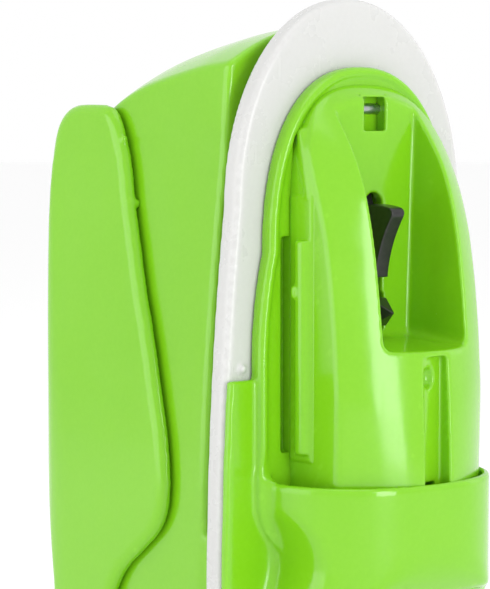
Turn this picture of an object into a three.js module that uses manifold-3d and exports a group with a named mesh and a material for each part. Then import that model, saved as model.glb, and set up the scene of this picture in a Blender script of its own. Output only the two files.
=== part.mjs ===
// Handheld bag heat sealer with a bag-opening cutter head on its front.
// Millimetres, +Z up, front towards -Y. The origin is the middle of the flat foot, under the middle of
// the depth. A white mid plate stands between a front shell and a rear shell. Behind the plate's upper
// half is the bag throat: squeezing the lever at the back pushes a heater carriage across it, onto the
// silicone pad in the plate. In front of the plate, the cutter housing holds a sprung hook and a tooth.
import * as THREE from "three";
import { mergeVertices } from "three/addons/utils/BufferGeometryUtils.js";
import Module from "manifold-3d";

const wasm = await Module();
wasm.setup();

// Driving dimensions.
const GAP = 0.3; // between pieces that touch
const WALL = 1.8; // moulded wall thickness
const HALF_WIDTH = 23; // of the whole object, at its widest height
const WIDEST_Z = 50;
const PLATE_TOP_HALF = 20; // half width where the plate's rounded top begins
const PLATE_TOP_RISE = 27;
const PLATE_SPRING_Z = 103; // the plate is PLATE_SPRING_Z + PLATE_TOP_RISE tall
const FOOT_HALF = 20;
const FOOT_ROUND = 4;
const PLATE_Y = -13.2; // front face of the mid plate
const PLATE_THICK = 3;
const THROAT = 2.4; // gap that a bag slides into
const THROAT_Z = 60; // bottom of the throat
const PANEL_TOP_Z = 80.7; // top edge of the front shell's flat panel
const BODY_INSET = 2; // rear shell's sides inside the plate's outline
const FLANGE_FACE = 2.2; // depths ahead of the plate's front face
const CUP_DEPTH = 17;
const CUP_HALF = 17;
const CUP_WALL = 0.85;
const DOME_WALL_X = 12.8; // flat flanks of the cutter housing
const DOME_SPRING_Z = 102.5; // where the flanks turn into the housing's rounded top
const DOME_TOP_Z = 118.9;
const CUP_RIM_Z = 67.4;
const CUP_FLOOR_Z = 61.6;
const DOME_FOOT_Z = 62.5;
const CHANNEL_FLOOR_Z = 85.4;
const LEVER_PIVOT = { behind: 20, z: 59.5 };
const LEVER_ANGLE = 5; // degrees of squeeze
const CARRIAGE_TRAVEL = 2.5;
const PUSH_Z = LEVER_PIVOT.z + CARRIAGE_TRAVEL / Math.sin(THREE.MathUtils.degToRad(LEVER_ANGLE));
const HEATER_Z = 100.5;
const BATTERY = { radius: 7, length: 50, x: 7.6, behind: 20, z: 4 };
const SCREW = { shaft: 0.9, head: 1.6, well: 1.9, x: 17.6, low: 10, high: 36 };
const HOOK_PIN = { ahead: 1.9, z: 115.5, radius: 0.75, half: 4.6 };

// Depths are given from the plate's front face: ahead is towards the cutter, behind is towards the lever.
const ahead = (depth) => PLATE_Y - depth;
const behind = (depth) => PLATE_Y + depth;

// ---- Solids ----

function solid(geometry) {
  const bare = geometry.clone();
  bare.deleteAttribute("normal");
  bare.deleteAttribute("uv");
  const merged = mergeVertices(bare, 1e-4);
  return new wasm.Manifold(
    new wasm.Mesh({
      numProp: 3,
      vertProperties: new Float32Array(merged.attributes.position.array),
      triVerts: new Uint32Array(merged.index.array),
    }),
  );
}

const join = (...solids) => solids.reduce((a, b) => a.add(b));
const cut = (from, ...tools) => tools.reduce((a, b) => a.subtract(b), from);
const common = (...solids) => solids.reduce((a, b) => a.intersect(b));

function block([x0, x1], [y0, y1], [z0, z1]) {
  const geometry = new THREE.BoxGeometry(x1 - x0, y1 - y0, z1 - z0);
  return solid(geometry.translate((x0 + x1) / 2, (y0 + y1) / 2, (z0 + z1) / 2));
}

const EXTRUDE = { bevelEnabled: false, curveSegments: 10, steps: 1 };

// A shape drawn in X and Z, filled from y0 to y1.
function alongY(shape, y0, y1) {
  const geometry = new THREE.ExtrudeGeometry(shape, { ...EXTRUDE, depth: y1 - y0 });
  return solid(geometry.rotateX(Math.PI / 2).translate(0, y1, 0));
}

// A shape drawn in Y and Z, filled from x0 to x1.
function alongX(shape, x0, x1) {
  const geometry = new THREE.ExtrudeGeometry(shape, { ...EXTRUDE, depth: x1 - x0 });
  const turn = new THREE.Matrix4().makeBasis(
    new THREE.Vector3(0, 1, 0),
    new THREE.Vector3(0, 0, 1),
    new THREE.Vector3(1, 0, 0),
  );
  return solid(geometry.applyMatrix4(turn).translate(x0, 0, 0));
}

// A shape drawn in X and Y, filled from z0 to z1.
function alongZ(shape, z0, z1) {
  const geometry = new THREE.ExtrudeGeometry(shape, { ...EXTRUDE, depth: z1 - z0 });
  return solid(geometry.translate(0, 0, z0));
}

function rod(axis, radius, from, to, segments = 20) {
  const geometry = new THREE.CylinderGeometry(radius, radius, from.distanceTo(to), segments);
  if (axis === "x") geometry.rotateZ(Math.PI / 2);
  if (axis === "z") geometry.rotateX(Math.PI / 2);
  const middle = from.clone().add(to).multiplyScalar(0.5);
  return solid(geometry.translate(middle.x, middle.y, middle.z));
}

const rodX = (radius, x0, x1, y, z) =>
  rod("x", radius, new THREE.Vector3(x0, y, z), new THREE.Vector3(x1, y, z));
const rodY = (radius, y0, y1, x, z) =>
  rod("y", radius, new THREE.Vector3(x, y0, z), new THREE.Vector3(x, y1, z));
const rodZ = (radius, z0, z1, x, y) =>
  rod("z", radius, new THREE.Vector3(x, y, z0), new THREE.Vector3(x, y, z1));

// A coil spring of round wire, wound about the Z axis from z = 0, then turned and placed.
function coil({ radius, wire, turns, length, axis, at }) {
  class Helix extends THREE.Curve {
    getPoint(t, target = new THREE.Vector3()) {
      const angle = 2 * Math.PI * turns * t;
      const rise = wire / 2 + (length - wire) * t;
      return target.set(radius * Math.cos(angle), radius * Math.sin(angle), rise);
    }
  }
  const section = new THREE.Shape();
  section.absarc(0, 0, wire / 2, 0, 2 * Math.PI, false);
  const geometry = new THREE.ExtrudeGeometry(section, {
    steps: Math.round(turns * 9),
    curveSegments: 3,
    extrudePath: new Helix(),
    bevelEnabled: false,
  });
  if (axis === "x") geometry.rotateY(Math.PI / 2);
  if (axis === "y") geometry.rotateX(-Math.PI / 2);
  return solid(geometry.translate(...at));
}

// ---- Outlines ----

// The tongue outline of the whole object seen from the front, drawn smaller by inset all round.
function tongue(inset) {
  const widest = HALF_WIDTH - inset;
  const foot = FOOT_HALF - inset;
  const low = inset > 1 ? inset : 0;
  const top = PLATE_TOP_HALF - inset;
  const shape = new THREE.Shape();
  shape.moveTo(-foot + FOOT_ROUND, low);
  shape.lineTo(foot - FOOT_ROUND, low);
  shape.quadraticCurveTo(foot, low, foot + 0.4, low + FOOT_ROUND);
  shape.quadraticCurveTo(widest, WIDEST_Z * 0.6, widest, WIDEST_Z);
  shape.quadraticCurveTo(widest, WIDEST_Z + 28, top, PLATE_SPRING_Z);
  shape.absellipse(0, PLATE_SPRING_Z, top, PLATE_TOP_RISE - inset, 0, Math.PI, false);
  shape.quadraticCurveTo(-widest, WIDEST_Z + 28, -widest, WIDEST_Z);
  shape.quadraticCurveTo(-widest, WIDEST_Z * 0.6, -foot - 0.4, low + FOOT_ROUND);
  shape.quadraticCurveTo(-foot, low, -foot + FOOT_ROUND, low);
  return shape;
}

// The arch of the front shell's flange, which lies on the plate round the cutter housing.
function flangeArch() {
  const shape = new THREE.Shape();
  const low = CUP_RIM_Z - 4;
  shape.moveTo(-18, low);
  shape.lineTo(18, low);
  shape.lineTo(18, 82);
  shape.quadraticCurveTo(18, 90, 16.2, 97);
  roundedTop(shape, 16.2, 97, 24, 2.25);
  shape.quadraticCurveTo(-18, 90, -18, 82);
  return shape;
}

// Adds a superelliptic top to an outline that has reached (half, from), and ends at (-half, from).
function roundedTop(shape, half, from, rise, power) {
  const steps = 32;
  for (let i = 1; i <= steps; i++) {
    const angle = (Math.PI * i) / steps;
    const across = Math.sign(Math.cos(angle)) * Math.abs(Math.cos(angle)) ** (2 / power);
    shape.lineTo(half * across, from + rise * Math.max(Math.sin(angle), 0) ** (2 / power));
  }
}

// A closed solid between a base plane and a surface: height(u, v) over a grid, with place(u, v, h) to put
// each corner in the part's frame. The three directions u, v and h are right-handed.
function relief(us, vs, base, height, place) {
  const rows = us.length;
  const columns = vs.length;
  const positions = [];
  const faces = [];
  for (const level of ["base", "top"])
    for (const u of us)
      for (const v of vs) {
        const p = place(u, v, level === "base" ? base : Math.max(height(u, v), base + 0.4));
        positions.push(p.x, p.y, p.z);
      }
  const at = (top, i, j) => top * rows * columns + i * columns + j;
  const quad = (a, b, c, d) => faces.push(a, b, c, a, c, d);
  for (let i = 0; i < rows - 1; i++)
    for (let j = 0; j < columns - 1; j++) {
      quad(at(1, i, j), at(1, i + 1, j), at(1, i + 1, j + 1), at(1, i, j + 1));
      quad(at(0, i, j), at(0, i, j + 1), at(0, i + 1, j + 1), at(0, i + 1, j));
    }
  for (let i = 0; i < rows - 1; i++) {
    quad(at(0, i, 0), at(0, i + 1, 0), at(1, i + 1, 0), at(1, i, 0));
    quad(at(0, i + 1, columns - 1), at(0, i, columns - 1), at(1, i, columns - 1), at(1, i + 1, columns - 1));
  }
  for (let j = 0; j < columns - 1; j++) {
    quad(at(0, 0, j + 1), at(0, 0, j), at(1, 0, j), at(1, 0, j + 1));
    quad(at(0, rows - 1, j), at(0, rows - 1, j + 1), at(1, rows - 1, j + 1), at(1, rows - 1, j));
  }
  const geometry = new THREE.BufferGeometry();
  geometry.setAttribute("position", new THREE.Float32BufferAttribute(positions, 3));
  geometry.setIndex(faces);
  return solid(geometry);
}

// The value at a place between [place, value] knots, on straight lines.
function lineAt(knots, place) {
  const next = knots.findIndex((knot) => knot[0] >= place);
  if (next === 0) return knots[0][1];
  if (next < 0) return knots[knots.length - 1][1];
  const [[a, from], [b, to]] = [knots[next - 1], knots[next]];
  return from + ((to - from) * (place - a)) / (b - a);
}

const evenly = (from, to, count) =>
  Array.from({ length: count + 1 }, (_, i) => from + ((to - from) * i) / count);

// The sections of the cup and the grip: a superellipse ahead of the plate's face.
function superSection(half, depth, power = 2.5) {
  const shape = new THREE.Shape();
  shape.moveTo(half, ahead(GAP));
  const steps = 26;
  for (let i = 0; i <= steps; i++) {
    const angle = (Math.PI * i) / steps;
    const x = Math.sign(Math.cos(angle)) * half * Math.abs(Math.cos(angle)) ** (2 / power);
    const out = depth * Math.max(Math.sin(angle), 0) ** (2 / power);
    shape.lineTo(x, ahead(Math.max(out, GAP)));
  }
  return shape;
}

// A closed outline in Y and Z from [depth behind the plate's face, z] points joined by a smooth curve.
function smoothOutline(points, samples) {
  const places = points.map(([depth, z]) => new THREE.Vector3(behind(depth), z, 0));
  const curve = new THREE.CatmullRomCurve3(places, true, "centripetal");
  return new THREE.Shape(curve.getPoints(samples).slice(0, -1).map((p) => new THREE.Vector2(p.x, p.y)));
}

// A section in X and Y with its two back corners rounded.
function backRounded(half, front, back, round) {
  const shape = new THREE.Shape();
  shape.moveTo(-half, behind(front));
  shape.lineTo(half, behind(front));
  shape.lineTo(half, behind(back - round));
  shape.quadraticCurveTo(half, behind(back), half - round, behind(back));
  shape.lineTo(-half + round, behind(back));
  shape.quadraticCurveTo(-half, behind(back), -half, behind(back - round));
  return shape;
}

// ---- White plate and its pad ----

const PAD = { half: 14.5, low: HEATER_Z - 4, high: HEATER_Z + 4, thick: 1.4 };

function midPlate() {
  const plate = alongY(tongue(0), behind(0), behind(PLATE_THICK));
  const padBed = block(
    [-PAD.half - GAP, PAD.half + GAP],
    [behind(PLATE_THICK - PAD.thick - GAP), behind(PLATE_THICK + 1)],
    [PAD.low - GAP, PAD.high + GAP],
  );
  const holes = caseScrewPlaces().map(([x, z]) => rodY(SCREW.shaft + GAP, behind(-1), behind(4), x, z));
  const headHoles = headScrewPlaces().flatMap(([x, z]) => [
    rodY(SCREW.shaft + GAP, behind(-1), behind(4), x, z),
    rodY(SCREW.head + GAP, behind(1.4), behind(4), x, z),
  ]);
  return cut(plate, padBed, ...holes, ...headHoles);
}

function siliconePad() {
  return block(
    [-PAD.half, PAD.half],
    [behind(PLATE_THICK - PAD.thick), behind(PLATE_THICK)],
    [PAD.low, PAD.high],
  );
}

// ---- Front shell: flange, flat panel, cup and grip ----

// The grip's side outline, from the cup's rim down to the foot.
function gripSide(inset) {
  const shape = new THREE.Shape();
  const foot = Math.max(inset, 0);
  shape.moveTo(ahead(-1), foot);
  shape.lineTo(ahead(6.5 - inset), foot);
  shape.quadraticCurveTo(ahead(9 - inset), foot, ahead(9 - inset), 4 + foot);
  shape.lineTo(ahead(9 - inset), 38);
  shape.quadraticCurveTo(ahead(9 - inset), 47 + inset, ahead(13 - inset), 51.5 + inset);
  shape.quadraticCurveTo(ahead(CUP_DEPTH - inset), 54 + inset, ahead(CUP_DEPTH - inset), 59.5 + inset);
  shape.lineTo(ahead(CUP_DEPTH - inset), 70);
  shape.lineTo(ahead(-1), 70);
  return shape;
}

// The cup narrows towards the grip, seen from the front.
function cupFront(inset) {
  const shape = new THREE.Shape();
  const side = 18 - inset;
  const neck = 14.8 - inset;
  shape.moveTo(-neck, 50);
  shape.lineTo(neck, 50);
  shape.lineTo(neck, 58);
  shape.quadraticCurveTo(neck + 0.4, 62, side - 0.6, 64);
  shape.lineTo(side, CUP_RIM_Z + 4);
  shape.lineTo(-side, CUP_RIM_Z + 4);
  shape.lineTo(-side + 0.6, 64);
  shape.quadraticCurveTo(-neck - 0.4, 62, -neck, 58);
  return shape;
}

// The grip widens from the cup's neck down to the foot, seen from the front.
function gripFront(inset) {
  const shape = new THREE.Shape();
  const low = Math.max(inset, 0);
  const half = 21 - inset;
  shape.moveTo(-half + 5, low);
  shape.lineTo(half - 5, low);
  shape.quadraticCurveTo(half, low + 2, half, 14);
  shape.lineTo(half, 36);
  shape.quadraticCurveTo(half - 1, 46, 14 - inset, 54 - inset);
  shape.lineTo(-14 + inset, 54 - inset);
  shape.quadraticCurveTo(-half + 1, 46, -half, 36);
  shape.lineTo(-half, 14);
  shape.quadraticCurveTo(-half, low + 2, -half + 5, low);
  return shape;
}

function bulge(inset) {
  const cup = common(
    alongZ(superSection(CUP_HALF - inset, CUP_DEPTH - inset), 50, CUP_RIM_Z),
    alongY(cupFront(inset), ahead(20), ahead(GAP)),
    alongX(gripSide(inset), -30, 30),
  );
  const grip = common(
    alongZ(superSection(21 - inset, 13 - inset, 2.4), 0, 56),
    alongY(gripFront(inset), ahead(20), ahead(GAP)),
    alongX(gripSide(inset), -30, 30),
  );
  return join(cup, grip);
}

function frontShell() {
  const panel = common(
    alongY(tongue(0), ahead(1.3), ahead(GAP)),
    block([-30, 30], [ahead(5), ahead(0)], [0, PANEL_TOP_Z]),
  );
  const flange = alongY(flangeArch(), ahead(FLANGE_FACE), ahead(GAP));
  const hollow = common(bulge(WALL), block([-30, 30], [ahead(20), ahead(GAP)], [WALL, 57]));
  const backOpening = alongY(gripFront(WALL + 1), ahead(5), ahead(0));
  const well = common(
    alongZ(superSection(CUP_HALF - CUP_WALL, CUP_DEPTH - CUP_WALL), CUP_FLOOR_Z, CUP_RIM_Z + 1),
    alongY(cupFront(1.4), ahead(20), ahead(0)),
  );
  const bosses = caseScrewPlaces().map(([x, z]) => rodY(2.2, ahead(6), ahead(GAP), x, z));
  const pilots = caseScrewPlaces().map(([x, z]) => rodY(SCREW.shaft + 0.25, ahead(5.4), ahead(0), x, z));
  const shell = cut(join(panel, flange, bulge(0)), hollow, backOpening, well);
  const seat = join(domeVolume(GAP), block([-14.8, 14.8], [ahead(4), ahead(0)], [71, 100]));
  const boxedSeat = common(seat, block([-30, 30], [ahead(20), ahead(0)], [CUP_FLOOR_Z, 130]));
  const edgeRing = common(join(...bosses), join(bulge(0), panel));
  return cut(join(cut(shell, boxedSeat), edgeRing), ...pilots);
}

// ---- Cutter housing and what it holds ----

// Depth of the housing's front by height, near its middle and where it meets its flat flanks.
const MIDDLE_X = 7;
const DEPTH_NEAR_MIDDLE = [
  [58, 15], [70, 14.9], [78, 14.7], [85.3, 14.2], [91, 13.6], [97, 12.8], [101, 12], [104.5, 11.1],
  [108.2, 9.6], [112, 7.1], [115, 4.7], [117.5, 2.4], [120, -0.6], [124, -6],
];
const DEPTH_AT_FLANK = [
  [58, 11], [67, 11.1], [78.6, 11.4], [86.6, 10.9], [92.9, 10.2], [99.6, 9], [105.1, 7.2],
  [110.2, 4.6], [114, 2.2], [118, -1.2], [124, -7],
];

function domeDepth(x, z) {
  const near = lineAt(DEPTH_NEAR_MIDDLE, z);
  const share = (x * x - MIDDLE_X ** 2) / (DOME_WALL_X ** 2 - MIDDLE_X ** 2);
  return near + (lineAt(DEPTH_AT_FLANK, z) - near) * share;
}

// The housing's outer volume, grown by a clearance or shrunk by a wall: an arched front between flat flanks.
function domeVolume(grow) {
  const half = DOME_WALL_X + grow;
  const foot = DOME_FOOT_Z - grow;
  const base = grow ? -1 : GAP;
  const front = relief(
    evenly(-half, half, 18), evenly(foot, 122, 22), base,
    (x, z) => domeDepth(x, z) + grow,
    (x, z, depth) => new THREE.Vector3(x, ahead(depth), z),
  );
  const outline = new THREE.Shape();
  outline.moveTo(-half, foot - 1);
  outline.lineTo(half, foot - 1);
  outline.lineTo(half, DOME_SPRING_Z);
  roundedTop(outline, half, DOME_SPRING_Z, DOME_TOP_Z + grow - DOME_SPRING_Z, 2.6);
  return common(front, alongY(outline, ahead(30), ahead(-2)));
}

// The open channel down the housing's front, with a nearly upright back face and a floor that falls forward.
function channelVoid(grow) {
  const shape = new THREE.Shape();
  shape.moveTo(ahead(4.3 - grow), 124);
  shape.lineTo(ahead(4.3 - grow), 116);
  shape.lineTo(ahead(3.8 - grow), CHANNEL_FLOOR_Z - grow);
  shape.lineTo(ahead(22), CHANNEL_FLOOR_Z - 1.6 - grow);
  shape.lineTo(ahead(22), 124);
  return alongX(shape, -7 - grow, 7 + grow);
}

function cutterHousing() {
  const ribs = [-1, 1].map((side) =>
    common(
      rodZ(1.5, 71, 98.6, side * (DOME_WALL_X - 0.4), ahead(4.8)),
      block([-15, 15], [ahead(8), ahead(3)], [70, 101]),
    ),
  );
  const bosses = headScrewPlaces().map(([x, z]) => rodY(2.3, ahead(9), ahead(GAP), x, z));
  const lugs = [-1, 1].map((side) =>
    block([side * 4.6 - 0.75, side * 4.6 + 0.75], [ahead(3.4), ahead(GAP)], [114, 117]),
  );
  const shell = join(
    cut(domeVolume(0), cut(domeVolume(-WALL), channelVoid(WALL - 0.3))),
    ...ribs,
    common(join(...bosses, ...lugs), domeVolume(0)),
  );
  const window = block([-2, 2], [ahead(9), ahead(0)], [112.6, 117]);
  const yokePocket = block([-3.85, 3.85], [ahead(3.4), ahead(0)], [113.4, 117.4]);
  const hookSlot = block([-1.7, 1.7], [ahead(9), ahead(0)], [90.6, 104.4]);
  const toothSeat = block([-1.9, 1.9], [ahead(7), ahead(1.6)], [86.3, 91.2]);
  const groove = block([-2, 2], [ahead(20), ahead(14.8)], [58, 83.6]);
  const dimple = rodY(1.15, ahead(20), ahead(12), 0, 80.9);
  const pinHole = rodX(HOOK_PIN.radius + 0.05, -4.8, 4.8, ahead(HOOK_PIN.ahead), HOOK_PIN.z);
  const pilots = headScrewPlaces().map(([x, z]) => rodY(SCREW.shaft + 0.25, ahead(8), ahead(0), x, z));
  return cut(
    shell, channelVoid(0), window, yokePocket, hookSlot, toothSeat, groove, dimple, pinHole, ...pilots,
  );
}

// The hook hangs from its pin by a yoke behind the channel's back face. Its fin stands out into the channel.
function cutterHook() {
  const arm = new THREE.Shape();
  arm.moveTo(ahead(0.8), 111.2);
  arm.lineTo(ahead(2.1), 111.2);
  arm.lineTo(ahead(2.1), 105);
  arm.lineTo(ahead(2.8), 102.9);
  arm.quadraticCurveTo(ahead(5.2), 103.2, ahead(8.2), 102.6);
  arm.quadraticCurveTo(ahead(9), 102.2, ahead(8.6), 101.4);
  arm.quadraticCurveTo(ahead(6), 97.6, ahead(5.6), 93.4);
  arm.lineTo(ahead(3.9), 93.4);
  arm.lineTo(ahead(1.8), 99.5);
  arm.lineTo(ahead(0.8), 105);
  const bridge = block([-3.7, 3.7], [ahead(2.1), ahead(0.8)], [109.4, 111.6]);
  const yoke = [-1, 1].flatMap((side) => {
    const [low, high] = [side * 3 - 0.7, side * 3 + 0.7];
    return [
      block([low, high], [ahead(2.1), ahead(0.8)], [110, 115]),
      rodX(1.3, low, high, ahead(HOOK_PIN.ahead), HOOK_PIN.z),
    ];
  });
  const bore = rodX(HOOK_PIN.radius + 0.05, -5, 5, ahead(HOOK_PIN.ahead), HOOK_PIN.z);
  return cut(join(alongX(arm, -1.15, 1.15), bridge, ...yoke), bore);
}

function hookPin() {
  return rodX(HOOK_PIN.radius, -HOOK_PIN.half, HOOK_PIN.half, ahead(HOOK_PIN.ahead), HOOK_PIN.z);
}

function hookSpring() {
  return coil({ radius: 0.75, wire: 0.3, turns: 1.5, length: 0.95, axis: "y", at: [0, ahead(1.3), 96.4] });
}

function cutterTooth() {
  const shape = new THREE.Shape();
  shape.moveTo(ahead(2), 86.6);
  shape.lineTo(ahead(4.9), 86.9);
  shape.lineTo(ahead(7.9), 88.8);
  shape.lineTo(ahead(4.9), 90.6);
  shape.lineTo(ahead(2), 90.8);
  return alongX(shape, -1.5, 1.5);
}

// ---- Rear shell, battery cover and lever ----

// Height of the edge between the rear shell's flank and its crown, by depth behind the plate's face.
const CROWN_EDGE = [
  [0, 121.7], [5.4, 121.6], [12, 121], [20, 119.5], [25, 118.3], [30, 116.2], [33, 114.1], [37, 110.5],
];
const CROWN_HALF = 16.6;
const CROWN_RISE = 5.2;

function crownVolume(inset) {
  return relief(
    evenly(-24, 24, 24), evenly(0, 40, 20), 30,
    (x, deep) => lineAt(CROWN_EDGE, deep) + CROWN_RISE * (1 - (x / CROWN_HALF) ** 2) - inset,
    (x, deep, z) => new THREE.Vector3(x, behind(deep), z),
  );
}

// Front outline of the rear shell's upper half, under its crown: the plate's sides, set in.
function bodyFront(inset) {
  const shape = new THREE.Shape();
  const widest = HALF_WIDTH - BODY_INSET - inset;
  const shoulder = 17 - inset;
  shape.moveTo(-widest, 40);
  shape.lineTo(widest, 40);
  shape.lineTo(widest, WIDEST_Z);
  shape.quadraticCurveTo(widest, WIDEST_Z + 32, shoulder + 0.6, 109);
  shape.lineTo(shoulder, 119);
  shape.quadraticCurveTo(shoulder - 0.6, 126, shoulder - 3, 129);
  shape.lineTo(3 - shoulder, 129);
  shape.quadraticCurveTo(0.6 - shoulder, 126, -shoulder, 119);
  shape.lineTo(-shoulder - 0.6, 109);
  shape.quadraticCurveTo(-widest, WIDEST_Z + 32, -widest, WIDEST_Z);
  return shape;
}

const HANDLE_TOP_Z = 42;
const HANDLE_BACK = 40;

function bodyVolume(inset) {
  const upper = common(
    crownVolume(inset),
    alongY(bodyFront(inset), behind(PLATE_THICK + THROAT + inset), behind(50)),
    alongZ(backRounded(24, 0, 34.5 - inset, 7), 40, 130),
  );
  const root = common(
    alongY(tongue(BODY_INSET + inset), behind(PLATE_THICK + GAP), behind(34.5 - inset)),
    block([-30, 30], [behind(0), behind(60)], [30, THROAT_Z - inset]),
    alongZ(backRounded(HALF_WIDTH - BODY_INSET - inset, 0, 34.5 - inset, 7), 20, 70),
  );
  const handle = common(
    alongY(tongue(GAP + inset), behind(PLATE_THICK + GAP), behind(HANDLE_BACK - inset)),
    alongZ(backRounded(HALF_WIDTH - GAP - inset, 0, HANDLE_BACK - inset, 10), inset, HANDLE_TOP_Z - inset),
    alongX(handleSide(inset), -30, 30),
  );
  return join(upper, root, handle);
}

function handleSide(inset) {
  const shape = new THREE.Shape();
  const back = HANDLE_BACK - inset;
  const low = Math.max(inset, 0);
  shape.moveTo(behind(0), low);
  shape.lineTo(behind(back - 3), low);
  shape.quadraticCurveTo(behind(back), low, behind(back), low + 3);
  shape.lineTo(behind(back), HANDLE_TOP_Z);
  shape.lineTo(behind(0), HANDLE_TOP_Z);
  return shape;
}

const COVER = { half: 13, top: 38.5, from: 37.2 };

function rearShell() {
  const hollow = join(
    bodyVolume(WALL),
    common(
      alongY(tongue(BODY_INSET + WALL), behind(0), behind(20)),
      block([-30, 30], [behind(0), behind(20)], [WALL, THROAT_Z - WALL]),
    ),
  );
  const bosses = caseScrewPlaces().map(([x, z]) =>
    rodY(2.6, behind(PLATE_THICK + GAP), behind(38), x, z),
  );
  const wells = caseScrewPlaces().flatMap(([x, z]) => [
    rodY(SCREW.well, behind(13.6), behind(50), x, z),
    rodY(SCREW.shaft + GAP, behind(0), behind(20), x, z),
  ]);
  const window = block([-15, 15], [behind(4), behind(8)], [HEATER_Z - 5, HEATER_Z + 5]);
  const pusherWay = block([-5, 5], [behind(31), behind(40)], [PUSH_Z - 5, PUSH_Z + 6]);
  const pinHoles = rodX(1.55, -30, 30, behind(LEVER_PIVOT.behind), LEVER_PIVOT.z);
  const coverHalf = COVER.half + GAP;
  const coverWay = block([-coverHalf, coverHalf], [behind(COVER.from), behind(50)], [-1, COVER.top + GAP]);
  const shell = join(cut(bodyVolume(0), hollow), common(join(...bosses), bodyVolume(0)));
  return cut(shell, ...wells, window, pusherWay, pinHoles, coverWay);
}

function batteryCover() {
  const skin = cut(bodyVolume(0), bodyVolume(WALL));
  const place = block([-COVER.half, COVER.half], [behind(COVER.from + GAP), behind(50)], [0, COVER.top]);
  const ridges = [30, 32.4, 34.8].map((z) => rodX(0.5, -6, 6, behind(HANDLE_BACK - 0.1), z));
  return join(common(skin, place), ...ridges);
}

// The lever's outline from the side: straight rising front edge, rounded free end, S-shaped heel.
function leverSide() {
  return smoothOutline(
    [
      [28.4, 115.7], [26.7, 114], [25.5, 111.6], [24, 108], [22.4, 102.8], [20.6, 97.5], [18.7, 91.6],
      [16.6, 85.8], [14.1, 77.4], [12.5, 70.9], [12, 65.6], [12.5, 62.2], [13.9, 59.6], [17.8, 56.2],
      [21, 53.6], [23.2, 50.6], [24.8, 46.6], [28, 43.4], [34.5, 43], [37.6, 44.8], [38.4, 50], [40.3, 58.6],
      [42, 68], [43.2, 80], [43.4, 90], [42.9, 98], [42.4, 105], [41.7, 110], [40.4, 113.8], [38, 115.8],
      [33, 116.3],
    ],
    93,
  );
}

const LEVER_BACK = 43.4;

function leverSkin(inset) {
  return common(
    alongY(bodyFront(inset - BODY_INSET), behind(0), behind(60)),
    alongZ(backRounded(HALF_WIDTH - inset, 0, LEVER_BACK - inset, 10), 30, 125),
  );
}

function squeezeLever() {
  const side = alongX(leverSide(), -30, 30);
  const slide = new THREE.Matrix4().makeTranslation(0, -WALL, 0);
  const innerSide = side.transform(slide.toArray());
  const reach = block([-30, 30], [behind(0), behind(60)], [30, 125]);
  const front = block([-30, 30], [behind(0), behind(35.4)], [30, 125]);
  const openTop = block([-30, 30], [behind(0), behind(39.8)], [104, 125]);
  const hollow = common(leverSkin(1.6), join(innerSide, front, openTop), reach);
  const pusher = block([-4, 4], [behind(26.3), behind(42.4)], [PUSH_Z - 1.6, PUSH_Z + 1.6]);
  const sockets = rodX(1.55, -HALF_WIDTH + 0.9, HALF_WIDTH - 0.9, behind(LEVER_PIVOT.behind), LEVER_PIVOT.z);
  return cut(join(cut(common(side, leverSkin(0)), hollow), pusher), sockets);
}

function leverPin() {
  const reach = HALF_WIDTH - 1.3;
  return rodX(1.5, -reach, reach, behind(LEVER_PIVOT.behind), LEVER_PIVOT.z);
}

function leverSpring() {
  return coil({
    radius: 2.7, wire: 0.7, turns: 5, length: 9, axis: "x",
    at: [-4.5, behind(LEVER_PIVOT.behind), LEVER_PIVOT.z],
  });
}

// ---- Heater ----

function heaterCarriage() {
  const block1 = block([-13, 13], [behind(10.2), behind(26)], [84, 106]);
  const nose = block([-13.5, 13.5], [behind(8.6), behind(10.4)], [HEATER_Z - 3.6, HEATER_Z + 3.6]);
  const pockets = [-1, 1].map((side) => rodY(3.2, behind(0), behind(19.4), side * 9.2, 89));
  const lightening = block([-10, 10], [behind(13), behind(23)], [94, 120]);
  return cut(join(block1, nose), ...pockets, lightening);
}

const carriageSpring = (side) => () =>
  coil({ radius: 2.4, wire: 0.7, turns: 6, length: 9, axis: "y", at: [side * 9.2, behind(7.5), 89] });

function heaterBar() {
  return block([-13.3, 13.3], [behind(6.9), behind(8.3)], [HEATER_Z - 2.6, HEATER_Z + 2.6]);
}

function heatingElement() {
  return block([-13, 13], [behind(6.35), behind(6.6)], [HEATER_Z - 1.2, HEATER_Z + 1.2]);
}

function releaseFilm() {
  return block([-13.6, 13.6], [behind(5.8), behind(6.05)], [HEATER_Z - 3.4, HEATER_Z + 3.4]);
}

// ---- Power ----

const battery = (side) => () => {
  const { radius, length, x, behind: depth, z } = BATTERY;
  const points = [
    [0, 0], [radius - 0.8, 0], [radius, 0.8], [radius, length - 2.4], [radius - 1, length - 1.4],
    [2.7, length - 1.4], [2.7, length], [0, length],
  ];
  const turned = side < 0 ? points : points.map(([r, h]) => [r, length - h]).reverse();
  const lathe = new THREE.LatheGeometry(turned.map(([r, h]) => new THREE.Vector2(r, h)), 24);
  return solid(lathe.rotateX(Math.PI / 2).translate(side * x, behind(depth), z));
};

function contactPlate(z, thick) {
  return block([-13.6, 13.6], [behind(15), behind(25)], [z, z + thick]);
}

function circuitBoard() {
  return block([-15, 15], [behind(8.6), behind(30)], [72, 73.5]);
}

function triggerSwitch() {
  return join(
    block([-4, 4], [behind(12), behind(22)], [73.8, 80]),
    block([-1.4, 1.4], [behind(16), behind(18)], [79, 82.6]),
  );
}

// ---- Screws ----

function caseScrewPlaces() {
  return [SCREW.low, SCREW.high].flatMap((z) => [[-SCREW.x, z], [SCREW.x, z]]);
}

function headScrewPlaces() {
  return [[-9.8, 83], [9.8, 83]];
}

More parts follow.
